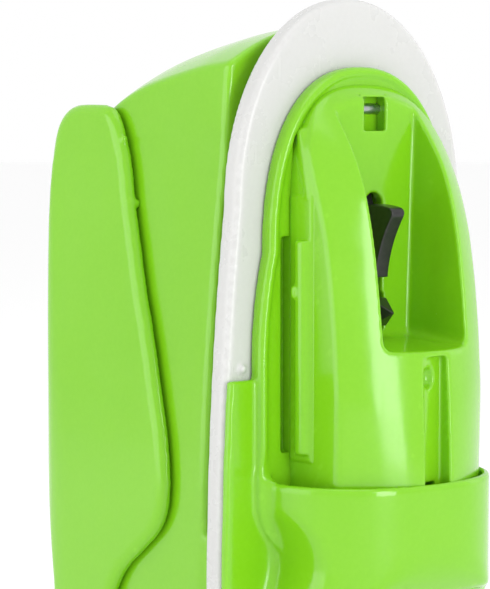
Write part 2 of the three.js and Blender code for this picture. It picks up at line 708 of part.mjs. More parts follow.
function screw(x, z, headDepth, tipDepth) {
  const shank = rodY(SCREW.shaft, behind(tipDepth), behind(headDepth + 0.2), x, z);
  const head = rodY(SCREW.head, behind(headDepth), behind(headDepth + 1.3), x, z);
  const drive = join(
    block([x - 1, x + 1], [behind(headDepth + 0.6), behind(headDepth + 2)], [z - 0.22, z + 0.22]),
    block([x - 0.22, x + 0.22], [behind(headDepth + 0.6), behind(headDepth + 2)], [z - 1, z + 1]),
  );
  return cut(join(shank, head), drive);
}

// ---- Assembly ----

const LIME = { color: 0x8fd43f, roughness: 0.25, metalness: 0 };
const WHITE = { color: 0xecece8, roughness: 0.3, metalness: 0 };
const DARK = { color: 0x2b2b2a, roughness: 0.4, metalness: 0.1 };
const STEEL = { color: 0x9aa0a4, roughness: 0.3, metalness: 1 };
const BRASS = { color: 0xb99a4a, roughness: 0.35, metalness: 1 };
const BEIGE = { color: 0xd9cdb4, roughness: 0.6, metalness: 0 };
const RUBBER = { color: 0xb8482f, roughness: 0.8, metalness: 0 };
const BOARD = { color: 0x2c6b3f, roughness: 0.5, metalness: 0 };
const LABEL = { color: 0x3a4a63, roughness: 0.4, metalness: 0.2 };

function mesh(name, made, look) {
  const { numProp, vertProperties, triVerts } = made.getMesh();
  const geometry = new THREE.BufferGeometry();
  const positions = new Float32Array((vertProperties.length / numProp) * 3);
  for (let i = 0; i < positions.length / 3; i++) {
    positions.set(vertProperties.subarray(i * numProp, i * numProp + 3), i * 3);
  }
  geometry.setAttribute("position", new THREE.BufferAttribute(positions, 3));
  geometry.setIndex(new THREE.BufferAttribute(new Uint32Array(triVerts), 1));
  const part = new THREE.Mesh(geometry, new THREE.MeshStandardMaterial(look));
  part.name = name;
  return part;
}

const sealer = new THREE.Group();
sealer.name = "bag_heat_sealer";

const PIECES = [
  ["front_shell", frontShell, LIME],
  ["mid_plate", midPlate, WHITE],
  ["silicone_pad", siliconePad, RUBBER],
  ["cutter_housing", cutterHousing, LIME],
  ["cutter_hook", cutterHook, DARK],
  ["hook_pin", hookPin, STEEL],
  ["hook_spring", hookSpring, STEEL],
  ["cutter_tooth", cutterTooth, DARK],
  ["rear_shell", rearShell, LIME],
  ["battery_cover", batteryCover, LIME],
  ["squeeze_lever", squeezeLever, LIME],
  ["lever_pin", leverPin, STEEL],
  ["lever_spring", leverSpring, STEEL],
  ["heater_carriage", heaterCarriage, BEIGE],
  ["carriage_spring_left", carriageSpring(-1), STEEL],
  ["carriage_spring_right", carriageSpring(1), STEEL],
  ["heater_bar", heaterBar, BEIGE],
  ["heating_element", heatingElement, STEEL],
  ["release_film", releaseFilm, BEIGE],
  ["battery_left", battery(-1), LABEL],
  ["battery_right", battery(1), LABEL],
  ["battery_contact_top", () => contactPlate(54.4, 0.8), BRASS],
  ["battery_contact_bottom", () => contactPlate(2.6, 0.8), BRASS],
  ["circuit_board", circuitBoard, BOARD],
  ["trigger_switch", triggerSwitch, DARK],
];

for (const [name, make, look] of PIECES) {
  sealer.add(mesh(name, make(), look));
}
caseScrewPlaces().forEach(([x, z], i) => {
  sealer.add(mesh(`case_screw_${i + 1}`, screw(x, z, 14, -4.8), STEEL));
});
headScrewPlaces().forEach(([x, z], i) => {
  sealer.add(mesh(`head_screw_${i + 1}`, screw(x, z, 1.6, -7), STEEL));
});

export default sealer;
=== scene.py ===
# Looks of the handheld bag heat sealer, built round its imported model. Shells, hook and tooth are modelled
# as solid distance fields in millimetres, with moulded fillets, and meshed with a surface net; the two pins
# are turned meshes, and the other small parts keep their imported meshes. Everything is placed in the
# imported model's frame.
import math

import bmesh
import bpy
import numpy as np
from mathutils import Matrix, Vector


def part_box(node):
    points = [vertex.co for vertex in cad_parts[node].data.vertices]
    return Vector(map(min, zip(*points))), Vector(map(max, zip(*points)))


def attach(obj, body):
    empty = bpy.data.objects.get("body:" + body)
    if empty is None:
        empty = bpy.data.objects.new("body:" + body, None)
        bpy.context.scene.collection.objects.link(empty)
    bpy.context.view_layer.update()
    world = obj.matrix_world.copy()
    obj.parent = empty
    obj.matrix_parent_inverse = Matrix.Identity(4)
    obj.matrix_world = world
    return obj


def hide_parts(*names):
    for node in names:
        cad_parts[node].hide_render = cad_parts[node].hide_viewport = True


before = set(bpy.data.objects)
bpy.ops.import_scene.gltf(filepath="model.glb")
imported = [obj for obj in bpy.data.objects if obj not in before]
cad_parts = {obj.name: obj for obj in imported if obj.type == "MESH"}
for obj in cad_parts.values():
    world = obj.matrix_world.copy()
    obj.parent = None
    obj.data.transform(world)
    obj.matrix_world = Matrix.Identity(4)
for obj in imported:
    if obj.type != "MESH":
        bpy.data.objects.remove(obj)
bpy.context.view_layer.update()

MM = 0.001

# ---- Camera: the front left of the object, a little above it, on its upper part ----

VIEW_AZIMUTH = -40
VIEW_ELEVATION = 4
VIEW_DISTANCE = 0.34
VIEW_HEIGHT = 0.0785  # metres of the object that the frame takes in
VIEW_TARGET = Vector((-0.0108, -0.0037, 0.0908))
SENSOR = 36


def new_object(name, data):
    """An object in the scene."""
    made = bpy.data.objects.new(name, data)
    bpy.context.scene.collection.objects.link(made)
    return made


def aim(thing, target, azimuth, elevation, distance):
    """Puts a camera or light round its target, facing it; azimuth 0 is the object's front, in degrees."""
    a, e = math.radians(azimuth), math.radians(elevation)
    away = Vector((math.sin(a) * math.cos(e), -math.cos(a) * math.cos(e), math.sin(e)))
    thing.location = target + away * distance
    thing.rotation_euler = (-away).to_track_quat("-Z", "Y").to_euler()


def make_camera():
    data = bpy.data.cameras.new("camera")
    data.sensor_width = SENSOR
    data.lens = SENSOR * VIEW_DISTANCE / VIEW_HEIGHT
    data.clip_start = 0.01
    camera = new_object("camera", data)
    aim(camera, VIEW_TARGET, VIEW_AZIMUTH, VIEW_ELEVATION, VIEW_DISTANCE)
    bpy.context.scene.camera = camera


make_camera()

# ---- Driving sizes, in millimetres, as the frame's solids have them ----

PLATE_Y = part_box("mid_plate")[0].y / MM  # front face of the white plate
PLATE_THICK = (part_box("mid_plate")[1].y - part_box("mid_plate")[0].y) / MM
HALF_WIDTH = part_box("mid_plate")[1].x / MM
TOP_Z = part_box("mid_plate")[1].z / MM
WALL = 1.8
THROAT_FACE = 5.4  # front of the rear shell's upper half, behind the plate's front face
BODY_BACK = 34.5
HANDLE_BACK = 40
LEVER_BACK = 43.4
BODY_INSET = 2  # rear shell's sides inside the plate's outline
CUP_HALF = 17
CUP_DEPTH = 17
CUP_WALL = 0.85
CUP_FLOOR_Z = 61.6
CUP_RIM_Z = 67.4
PANEL_THICK = 1.3
PANEL_TOP_Z = 80.7
FLANGE_FACE = 2.0
COLUMN_HALF = 12.8  # the cutter housing's flat flanks
MIDDLE_X = 7
CHANNEL_FLOOR_Z = 85.4
CHANNEL_TOP_Z = 116
CROWN_HALF = 16.6
CROWN_RISE = 5.2
BURR_X = -18.6  # two small marks on the lever's edge
PIN_AT = (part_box("hook_pin")[0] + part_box("hook_pin")[1]).yz / 2 / MM  # the hook pin's axis, as (y, z)


def ahead(depth):
    """The Y of a depth ahead of the plate's front face."""
    return PLATE_Y - depth


def behind(depth):
    """The Y of a depth behind the plate's front face."""
    return PLATE_Y + depth


# ---- Distance fields ----


GRID_MARGIN = 2.5  # steps sampled beyond the box on every side


class Grid:
    """Sample places in a box; fields on it broadcast from one, two or three of its axes."""

    def __init__(self, low, high, step):
        self.low = np.array(low, float) - GRID_MARGIN * step
        count = np.ceil((np.array(high) - np.array(low)) / step).astype(int) + int(2 * GRID_MARGIN) + 1
        self.step = step
        axes = [self.low[k] + step * np.arange(count[k]) for k in range(3)]
        self.x = axes[0].reshape(-1, 1, 1)
        self.y = axes[1].reshape(1, -1, 1)
        self.z = axes[2].reshape(1, 1, -1)


def meet(*fields, r=0.0):
    """What all the solids share, with its edges rounded by about r."""
    out = fields[0]
    for other in fields[1:]:
        if r > 0:
            mix = np.clip(0.5 - 0.5 * (other - out) / r, 0, 1)
            out = other + (out - other) * mix + r * mix * (1 - mix)
        else:
            out = np.maximum(out, other)
    return out


def fuse(*fields, r=0.0):
    """The solids joined, with fillets of about r where they meet."""
    return -meet(*[-f for f in fields], r=r)


def carve(solid, *tools, r=0.0):
    """The solid less its tools, with the new edges rounded by about r."""
    return meet(solid, *[-t for t in tools], r=r)


def slab(values, low, high):
    """Everything whose value is between low and high."""
    return np.maximum(low - values, values - high)


def brick(g, xs, ys, zs, r):
    return meet(slab(g.x, *xs), slab(g.y, *ys), slab(g.z, *zs), r=r)


def tube_field(u, v, centre, radius):
    """An endless round bar along the axis that u and v leave out."""
    return np.hypot(u - centre[0], v - centre[1]) - radius


def polygon_field(points, u, v):
    """Signed distance from a closed outline, negative inside it."""
    shape = np.broadcast(u, v).shape
    uu = np.broadcast_to(u, shape).ravel().astype(np.float64)
    vv = np.broadcast_to(v, shape).ravel().astype(np.float64)
    best = np.full(uu.shape, 1e9)
    inside = np.zeros(uu.shape, bool)
    for (au, av), (bu, bv) in zip(points, points[1:] + points[:1]):
        du, dv = bu - au, bv - av
        length = du * du + dv * dv
        if length < 1e-12:
            continue
        t = np.clip(((uu - au) * du + (vv - av) * dv) / length, 0, 1)
        best = np.minimum(best, (uu - au - t * du) ** 2 + (vv - av - t * dv) ** 2)
        if av != bv:
            crosses = (av > vv) != (bv > vv)
            inside ^= crosses & (uu < au + (vv - av) * du / dv)
    return np.where(inside, -1, 1).reshape(shape) * np.sqrt(best).reshape(shape)


class Outline:
    """A closed outline of straight, curved and elliptic stretches."""

    def __init__(self, u, v):
        self.points = [(u, v)]

    def line(self, u, v):
        self.points.append((u, v))
        return self

    def bend(self, cu, cv, u, v, count=12):
        au, av = self.points[-1]
        for i in range(1, count + 1):
            t = i / count
            a, b, c = (1 - t) ** 2, 2 * t * (1 - t), t * t
            self.points.append((a * au + b * cu + c * u, a * av + b * cv + c * v))
        return self

    def arch(self, v, half, rise, power=2.0, count=48):
        """Half a superellipse that stands on the height v, from its right end to its left end."""
        for i in range(count + 1):
            angle = math.pi * i / count
            c, s = math.cos(angle), max(math.sin(angle), 0)
            u = math.copysign(half * abs(c) ** (2 / power), c)
            self.points.append((u, v + rise * s ** (2 / power)))
        return self

    def field(self, u, v):
        return polygon_field(self.points, u, v)


def smooth_loop(points, count=10):
    """A closed outline through the points, by centripetal Catmull-Rom stretches."""
    p = [np.array(q, float) for q in points]
    out = []
    for i in range(len(p)):
        a, b, c, d = (p[(i + k) % len(p)] for k in (-1, 0, 1, 2))
        ta = np.linalg.norm(b - a) ** 0.5
        tb = ta + np.linalg.norm(c - b) ** 0.5
        tc = tb + np.linalg.norm(d - c) ** 0.5
        for k in range(count):
            t = ta + (tb - ta) * k / count
            a1 = a * (ta - t) / ta + b * t / ta
            a2 = b * (tb - t) / (tb - ta) + c * (t - ta) / (tb - ta)
            a3 = c * (tc - t) / (tc - tb) + d * (t - tb) / (tc - tb)
            b1 = a1 * (tb - t) / tb + a2 * t / tb
            b2 = a2 * (tc - t) / (tc - ta) + a3 * (t - ta) / (tc - ta)
            q = b1 * (tb - t) / (tb - ta) + b2 * (t - ta) / (tb - ta)
            out.append((float(q[0]), float(q[1])))
    return out


# ---- From a field to a mesh ----


def net_mesh(name, grid, field):
    """A quad mesh of the field's zero surface: one vertex in each cell that the surface crosses."""
    shape = (grid.x.size, grid.y.size, grid.z.size)
    values = np.broadcast_to(field, shape).astype(np.float32)
    cells = tuple(s - 1 for s in shape)
    size = cells[0] * cells[1] * cells[2]
    total = np.zeros((3, size))
    number = np.zeros(size)
    rings = []
    for axis in range(3):
        low = [slice(None)] * 3
        high = [slice(None)] * 3
        low[axis] = slice(0, -1)
        high[axis] = slice(1, None)
        a, b = values[tuple(low)], values[tuple(high)]
        place = np.argwhere((a < 0) != (b < 0))
        va, vb = a[tuple(place.T)], b[tuple(place.T)]
        point = place.astype(float)
        point[:, axis] += va / (va - vb)
        u, v = (axis + 1) % 3, (axis + 2) % 3
        ring = []
        for du, dv in ((0, 0), (1, 0), (1, 1), (0, 1)):
            cell = place.copy()
            cell[:, u] -= du
            cell[:, v] -= dv
            ring.append(np.ravel_multi_index(tuple(cell.T), cells, mode="clip"))
        for ids in ring:
            number += np.bincount(ids, minlength=size)
            for k in range(3):
                total[k] += np.bincount(ids, point[:, k], minlength=size)
        quads = np.stack(ring, 1)
        flip = va >= 0
        quads[flip] = quads[flip][:, ::-1]
        rings.append(quads)
    used = np.flatnonzero(number)
    index = np.full(size, -1)
    index[used] = np.arange(used.size)
    vertices = (total[:, used] / number[used]).T * grid.step + grid.low
    faces = index[np.concatenate(rings)]
    mesh = bpy.data.meshes.new(name)
    mesh.vertices.add(len(vertices))
    mesh.vertices.foreach_set("co", (vertices * MM).astype(np.float32).ravel())
    mesh.loops.add(faces.size)
    mesh.loops.foreach_set("vertex_index", faces.astype(np.int32).ravel())
    mesh.polygons.add(len(faces))
    mesh.polygons.foreach_set("loop_start", np.arange(0, faces.size, 4, dtype=np.int32))
    mesh.update(calc_edges=True)
    mesh.validate()
    mesh.shade_smooth()
    return mesh


def add_piece(node, mesh, body, material):
    """The piece that stands for a node."""
    piece = new_object(node + "_look", mesh)
    mesh.materials.clear()
    mesh.materials.append(material)
    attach(piece, body)
    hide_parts(node)


# ---- Outlines shared by the shells ----


def tongue():
    """The whole object's outline from the front."""
    shape = Outline(-16, 0).line(16, 0).bend(20, 0, 20.4, 4)
    shape.bend(HALF_WIDTH, 30, HALF_WIDTH, 50).bend(HALF_WIDTH, 78, 20, 103)
    shape.arch(103, 20, TOP_Z - 103)
    return shape.bend(-HALF_WIDTH, 78, -HALF_WIDTH, 50).bend(-HALF_WIDTH, 30, -20.4, 4).bend(-20, 0, -16, 0)


def flange_arch():
    """The outline of the raised flange round the column, from the front."""
    shape = Outline(-12, 58.6).line(12, 58.6).bend(18, 58.8, 18, 65.5).line(18, 82).bend(18, 90, 16.2, 97)
    return shape.arch(97, 16.2, 24, 2.25).bend(-18, 90, -18, 82).line(-18, 65.5).bend(-18, 58.8, -12, 58.6)


def profile(z, knots, spread=1.2):
    """A smooth curve through (z, value) knots, sampled at the places z."""
    fine = np.arange(knots[0][0] - 6, knots[-1][0] + 6, 0.1)
    values = np.interp(fine, [k[0] for k in knots], [k[1] for k in knots])
    weights = np.exp(-0.5 * (np.arange(-40, 41) * 0.1 / spread) ** 2)
    padded = np.pad(values, 40, mode="edge")
    return np.interp(z, fine, np.convolve(padded, weights / weights.sum(), mode="valid"))


def super_section(half, depth, power=2.5, count=60):
    """Half a superellipse ahead of the plate, from above."""
    points = []
    for i in range(count + 1):
        angle = math.pi * i / count
        c, s = math.cos(angle), max(math.sin(angle), 0)
        points.append((math.copysign(half * abs(c) ** (2 / power), c), ahead(depth * s ** (2 / power))))
    shape = Outline(half, ahead(-3))
    shape.points += points
    return shape.line(-half, ahead(-3))


def grip_side():
    """From the cup's rim round its underside and down the grip's front to the foot."""
    shape = Outline(ahead(-1), 0).line(ahead(6.5), 0).bend(ahead(9), 0, ahead(9), 4).line(ahead(9), 37)
    shape.bend(ahead(9.2), 47.5, ahead(13.2), 51.8).bend(ahead(16.7), 55, ahead(CUP_DEPTH), 59)
    return shape.line(ahead(CUP_DEPTH), 72).line(ahead(-1), 72)


def cup_front():
    """The cup from the front, narrower at its bottom."""
    shape = Outline(-14.8, 50).line(14.8, 50).line(14.8, 58).bend(15.2, 62, 17.4, 64).line(18, 72)
    return shape.line(-18, 72).line(-17.4, 64).bend(-15.2, 62, -14.8, 58)


def grip_front():
    """The grip from the front."""
    shape = Outline(-16, 0).line(16, 0).bend(21, 2, 21, 14).line(21, 36).bend(20, 46, 14, 55)
    return shape.line(-14, 55).bend(-20, 46, -21, 36).line(-21, 14).bend(-21, 2, -16, 0)


EDGE_Z = [  # height of the edge between the body's flank and its crown, by depth behind the plate
    (0, 121.7), (5.4, 121.6), (12, 121), (20, 119.5), (25, 118.3), (30, 116.2), (33, 114.1), (37, 110.5),
]


def crown_field(g):
    """Everything under the rear shell's crown, which is arched from side to side."""
    deep = g.y - PLATE_Y
    edge = profile(deep, EDGE_Z, 1.5)
    top = edge + CROWN_RISE * (1 - (g.x / CROWN_HALF) ** 2)
    return (g.z - top) / np.sqrt(1 + (0.6 * g.x / CROWN_HALF) ** 2 + 0.06)


def wide_front(grow=0.0):
    """The rear shell's outline from the front, or the lever's where grow is BODY_INSET."""
    widest, shoulder, top = HALF_WIDTH - BODY_INSET + grow, 17 + grow, 119 + grow
    shape = Outline(-widest, 38).line(widest, 38).line(widest, 50)
    shape.bend(widest, 82, shoulder + 0.6, 109).line(shoulder, top)
    shape.bend(shoulder - 0.6, 126 + grow, shoulder - 3, 129 + grow)
    shape.line(3 - shoulder, 129 + grow).bend(0.6 - shoulder, 126 + grow, -shoulder, top)
    return shape.line(-shoulder - 0.6, 109).bend(-widest, 82, -widest, 50)


def back_rounded(half, front, back, round_back, round_front=0.0):
    """A section from above, with its back corners rounded, and its front ones if asked."""
    shape = Outline(-half + round_front, behind(front)).line(half - round_front, behind(front))
    if round_front:
        shape.bend(half, behind(front), half, behind(front + round_front))
    shape.line(half, behind(back - round_back)).bend(half, behind(back), half - round_back, behind(back))
    shape.line(-half + round_back, behind(back)).bend(-half, behind(back), -half, behind(back - round_back))
    if round_front:
        shape.line(-half, behind(front + round_front))
        shape.bend(-half, behind(front), -half + round_front, behind(front))
    return shape


LEVER_SIDE = [  # the lever from the side, as (depth behind the plate, z)
    (28.4, 115.7), (26.7, 114), (25.5, 111.6), (24, 108), (22.4, 102.8), (20.6, 97.5), (18.7, 91.6),
    (16.6, 85.8), (14.1, 77.4), (12.5, 70.9), (12, 65.6), (12.5, 62.2), (13.9, 59.6), (17.8, 56.2),
    (21, 53.6), (23.2, 50.6), (24.8, 46.6), (28, 43.4), (34.5, 43), (37.6, 44.8), (38.4, 50),
    (40.3, 58.6), (42, 68), (43.2, 80), (43.4, 90), (42.9, 98), (42.4, 105), (41.7, 110), (40.4, 113.8),
    (38, 115.8), (33, 116.3),
]

# ---- Shells ----


def bulge_field(g):
    """The cup and the grip as one solid volume ahead of the plate."""
    side = grip_side().field(g.y, g.z)
    cup = super_section(CUP_HALF, CUP_DEPTH).field(g.x, g.y)
    cup = meet(cup, cup_front().field(g.x, g.z), side, 52 - g.z, r=0.8)
    cup = meet(cup, g.z - CUP_RIM_Z, r=0.7)
    grip = super_section(21, 13, 2.4).field(g.x, g.y)
    grip = meet(grip, grip_front().field(g.x, g.z), side, r=2.5)
    return fuse(cup, meet(grip, g.z - 58), r=2.0)


def front_shell_field(g):
    """Flat panel, arched flange with a raised bead, and the cup and the grip."""
    out = PLATE_Y - g.y
    panel = meet(tongue().field(g.x, g.z), slab(out, 0.02, PANEL_THICK), g.z - PANEL_TOP_Z, r=0.45)
    arch = flange_arch().field(g.x, g.z)
    flange = meet(arch, slab(out, 0.02, FLANGE_FACE), r=0.5)
    bead_top = 1.8 + 0.6 * np.clip((g.z - 66) / 6, 0, 1)
    bead = meet(np.abs(arch + 0.75) - 0.5, slab(out, 0.5, bead_top), r=0.4)
    flange = fuse(flange, bead, r=0.3)
    bulge = bulge_field(g)
    shell = fuse(fuse(panel, flange, r=0.3), bulge, r=2.2)
    well = super_section(CUP_HALF - CUP_WALL, CUP_DEPTH - CUP_WALL).field(g.x, g.y)
    well = meet(well, cup_front().field(g.x, g.z) + 1.4, CUP_FLOOR_Z - g.z, FLANGE_FACE - out, r=0.3)
    slits = meet(slab(np.abs(g.x), 12.4, 14.3), slab(g.z, 71, 99), slab(out, 0.55, 5))
    under_dome = meet(np.abs(g.x) - 12.2, slab(g.z, 60, 112), out - 5)
    hollow = meet(bulge + WALL, slab(out, 0.9, 30), slab(g.z, WALL, 58), r=0.4)
    opening = meet(grip_front().field(g.x, g.z) + 2.8, slab(out, -3, 2))
    return meet(carve(shell, well, slits, under_dome, hollow, opening, r=0.25), -g.z)


NEAR_MIDDLE = [  # the column's depth at MIDDLE_X, by height
    (58, 15), (70, 14.9), (78, 14.7), (85.3, 14.2), (91, 13.6), (97, 12.8), (101, 12.0), (104.5, 11.1),
    (108.2, 9.6), (112, 7.1), (115, 4.7), (117.5, 2.4), (120, -0.6), (124, -6),
]
AT_CREASE = [  # the column's depth at COLUMN_HALF, by height
    (58, 11), (67, 11.1), (78.6, 11.4), (86.6, 10.9), (92.9, 10.2), (99.6, 9.0), (105.1, 7.2),
    (110.2, 4.6), (114, 2.2), (118, -1.2), (124, -7),
]


def dome_field(g, out):
    """The column's front: at each height an arc through its depths near the middle and at the crease."""
    x, z = g.x[:, 0, 0][:, None], g.z[0, 0, :][None, :]
    near, far = profile(z, NEAR_MIDDLE), profile(z, AT_CREASE)
    share = (np.minimum(np.abs(x), 14) ** 2 - MIDDLE_X**2) / (COLUMN_HALF**2 - MIDDLE_X**2)
    depth = near + (far - near) * share
    across, up = np.gradient(depth, g.step)
    steep = np.sqrt(1 + across**2 + up**2)
    return (out - depth[:, None, :]) / steep[:, None, :]


def capsule(g, a, b, radius):
    """A round bar between two points given as (x, depth ahead, z)."""
    a = np.array((a[0], ahead(a[1]), a[2]), float)
    b = np.array((b[0], ahead(b[1]), b[2]), float)
    d = b - a
    t = ((g.x - a[0]) * d[0] + (g.y - a[1]) * d[1] + (g.z - a[2]) * d[2]) / d.dot(d)
    t = np.clip(t, 0, 1)
    return np.sqrt(
        (g.x - a[0] - t * d[0]) ** 2 + (g.y - a[1] - t * d[1]) ** 2 + (g.z - a[2] - t * d[2]) ** 2
    ) - radius


def cutter_housing_field(g):
    """The column: its channel with window and slots, the room for the hook, ribs and small marks."""
    out = PLATE_Y - g.y
    across = np.abs(g.x)
    outline = Outline(-COLUMN_HALF, 62.5).line(COLUMN_HALF, 62.5).arch(102.5, COLUMN_HALF, 16.4, 2.6)
    walls = outline.field(g.x, g.z)
    dome = meet(dome_field(g, out), walls, r=0.6)
    dome = meet(dome, 0.1 - out)
    rise = np.clip(g.z, CHANNEL_FLOOR_Z, CHANNEL_TOP_Z) - CHANNEL_FLOOR_Z
    half = 6.4 + 0.02 * rise + 0.09 * (out - 4)
    floor_z = CHANNEL_FLOOR_Z - 0.09 * (out - 4)
    channel = meet(across - half, 3.8 + 0.016 * rise - out, r=0.5)
    channel = meet(channel, floor_z - g.z, r=1.6)
    solid = carve(dome, channel, r=0.5)
    window = meet(across - 1.9, slab(g.z, 112.6, 117), slab(out, 3.4, 9))
    window = fuse(window, meet(across - 2.35, slab(g.z, 112.4, 117.1), slab(out, 0.9, 3.6)))
    slot = fuse(tube_field(g.x, g.z, (0, 102.9), 1.6), meet(across - 1.6, slab(g.z, 90.6, 102.9)))
    slot = meet(slot, slab(out, 1, 9))
    recess = meet(across - 2.0, slab(g.z, 86.3, 91.2), slab(out, 2.0, 9))
    arm_way = meet(across - 1.7, slab(g.z, 90.6, 110), slab(out, -1, 2.5))
    bridge_way = meet(across - 3.9, slab(g.z, 109, 111.9), slab(out, -1, 2.5))
    yoke_way = fuse(tube_field(g.y, g.z, PIN_AT, 1.55), meet(slab(g.z, 109, 115.5), slab(out, -1, 2.5)))
    yoke_way = meet(yoke_way, slab(across, 2.8, 3.95))
    floor = 14.9 - 0.3 * np.clip(g.x, -2, 2.3)
    groove = meet(slab(g.x, -2.1, 2.3), floor - out, g.z - 83.6, r=0.5)
    dimple = np.sqrt((g.x + 0.5) ** 2 + (out - 15.2) ** 2 + (g.z - 80.9) ** 2) - 1.35
    notch = meet(slab(g.x, -1.6, 1.2), slab(g.z, 66, 67.3), 10 - out)
    solid = carve(solid, groove, dimple, r=0.3)
    solid = carve(solid, window, slot, recess, notch, arm_way, bridge_way, yoke_way, r=0.15)
    for side in (-1, 1):
        rib = meet(tube_field(g.x, g.y, (side * 12.5, ahead(4.7)), 1.45), slab(g.z, 71, 98.6), r=0.25)
        pip = capsule(g, (side * 13.6, 3.9, 91.6), (side * 13.6, 3.9, 92.3), 0.6)
        ridge = capsule(g, (side * 11.2, 2.5, 112.2), (side * 12.4, 5.6, 104.2), 0.75)
        step = meet(slab(across, 11, 13.05), slab(g.z, 70, 104.4), slab(out, 2, 6.4), side * -g.x, r=0.25)
        solid = fuse(fuse(solid, ridge, r=0.6), rib, pip, r=0.2)
        solid = fuse(solid, step, r=0.1)
    return solid


def mid_plate_field(g):
    """The white plate, with the pad's bed and the screws' holes in its back."""
    out = PLATE_Y - g.y
    outline = tongue().field(g.x, g.z)
    plate = meet(outline, out, r=1.1)
    plate = meet(plate, -PLATE_THICK - out, r=0.5)
    for side in (-1, 1):
        bump = np.sqrt((g.x - side * 19.3) ** 2 + out**2 + (g.z - 82.1) ** 2) - 0.6
        plate = fuse(plate, bump, r=0.2)
    bed = meet(np.abs(g.x) - 14.8, slab(g.z, 96.2, 104.8), slab(g.y, behind(1.3), behind(4)), r=0.3)
    holes = [tube_field(g.x, g.z, (side * 9.8, 83), 1.9) for side in (-1, 1)]
    holes = [meet(hole, slab(g.y, behind(1.4), behind(4))) for hole in holes]
    return carve(plate, bed, *holes, r=0.15)


def body_field(g, r=0.8):
    """The rear shell's outer volume: the upper body, its root under the throat, and the handle."""
    upper = meet(
        wide_front().field(g.x, g.z), back_rounded(23, THROAT_FACE, BODY_BACK, 7, 5).field(g.x, g.y),
        40 - g.z, r=r,
    )
    upper = meet(upper, crown_field(g), r=0.5)
    root = meet(
        tongue().field(g.x, g.z) + BODY_INSET,
        back_rounded(HALF_WIDTH - BODY_INSET, 3.1, BODY_BACK, 7).field(g.x, g.y), slab(g.z, 30, 60), r=r,
    )
    outline = Outline(behind(3.1), 0).line(behind(HANDLE_BACK - 3), 0)
    outline.bend(behind(HANDLE_BACK), 0, behind(HANDLE_BACK), 3)
    outline.line(behind(HANDLE_BACK), 42).line(behind(3.1), 42)
    handle = meet(
        tongue().field(g.x, g.z) + 0.15, outline.field(g.y, g.z),
        back_rounded(22.85, 3.1, HANDLE_BACK, 10).field(g.x, g.y), r=r,
    )
    return fuse(fuse(upper, root, r=0.2), handle, r=0.4)


CASE_SCREWS = [(side * 17.6, z) for side in (-1, 1) for z in (10, 36)]


def rear_shell_field(g):
    """The body's skin with its screw bosses, and the openings for heater, pusher, pin and cover."""
    body = body_field(g)
    deep = g.y - PLATE_Y
    behind_plate = meet(tongue().field(g.x, g.z) + 3.8, slab(deep, 1, 20), slab(g.z, WALL, 58.2))
    hollow = fuse(body + WALL, behind_plate)
    shell = carve(body, hollow, r=0.2)
    bosses = [tube_field(g.x, g.z, place, 2.6) for place in CASE_SCREWS]
    shell = fuse(shell, meet(np.minimum.reduce(bosses), body, slab(deep, 3.3, 38)), r=0.3)
    wells = [meet(tube_field(g.x, g.z, place, 1.9), 13.6 - deep) for place in CASE_SCREWS]
    shanks = [tube_field(g.x, g.z, place, 1.2) for place in CASE_SCREWS]
    window = brick(g, (-15, 15), (behind(4), behind(8)), (95.5, 105.5), r=0.5)
    pusher_way = brick(g, (-5, 5), (behind(31), behind(40)), (83.2, 94.2), r=0.8)
    pin_hole = tube_field(g.y, g.z, (behind(20), 59.5), 1.6)
    cover_way = brick(g, (-13.2, 13.2), (behind(37.2), behind(50)), (-2, 38.7), r=0.5)
    return carve(shell, *wells, *shanks, window, pusher_way, pin_hole, cover_way, r=0.2)


def battery_cover_field(g):
    """A panel of the body's skin, with four short grip ridges."""
    skin = carve(body_field(g), body_field(g) + WALL)
    cover = meet(skin, brick(g, (-13, 13), (behind(37.5), behind(50)), (0, 38.5), r=0.5), r=0.3)
    across = np.abs(g.x)
    for z in (28.6, 31, 33.4, 35.8):
        ridge = np.hypot(g.y - behind(39.9), g.z - z) - 0.55
        cover = fuse(cover, meet(ridge, across - 7 + 0.08 * (g.z - 32) ** 2, r=0.4), r=0.2)
    return cover


def squeeze_lever_field(g):
    """The lever's skin round the rear body, open at the front and on top, with its pusher."""
    deep = g.y - PLATE_Y
    side = polygon_field([(behind(d), z) for d, z in smooth_loop(LEVER_SIDE)], g.y, g.z)
    skin = meet(
        wide_front(BODY_INSET).field(g.x, g.z),
        back_rounded(HALF_WIDTH, 0, LEVER_BACK, 10).field(g.x, g.y), r=0.8,
    )
    solid = meet(side, skin, r=1.9)
    inner_side = polygon_field([(behind(d - WALL), z) for d, z in smooth_loop(LEVER_SIDE)], g.y, g.z)
    open_top = meet(slab(deep, -1, 39.8), 104 - g.z)
    inner = fuse(inner_side, slab(deep, -1, 35.4), open_top)
    inner_skin = meet(
        wide_front(0.4).field(g.x, g.z),
        back_rounded(HALF_WIDTH - 1.6, 0, 41.8, 10).field(g.x, g.y), r=0.8,
    )
    shell = carve(solid, meet(inner, inner_skin, r=0.6), r=0.75)
    pusher = brick(g, (-4, 4), (behind(26.4), behind(42.4)), (86.6, 89.8), r=0.3)
    shell = fuse(shell, pusher, r=0.8)
    for depth, z in ((25.6, 111.4), (22.8, 102.8)):
        burr = np.sqrt((g.x - BURR_X) ** 2 + (deep - depth) ** 2 + ((g.z - z) * 0.7) ** 2) - 0.42
        shell = fuse(shell, burr, r=0.15)
    return shell


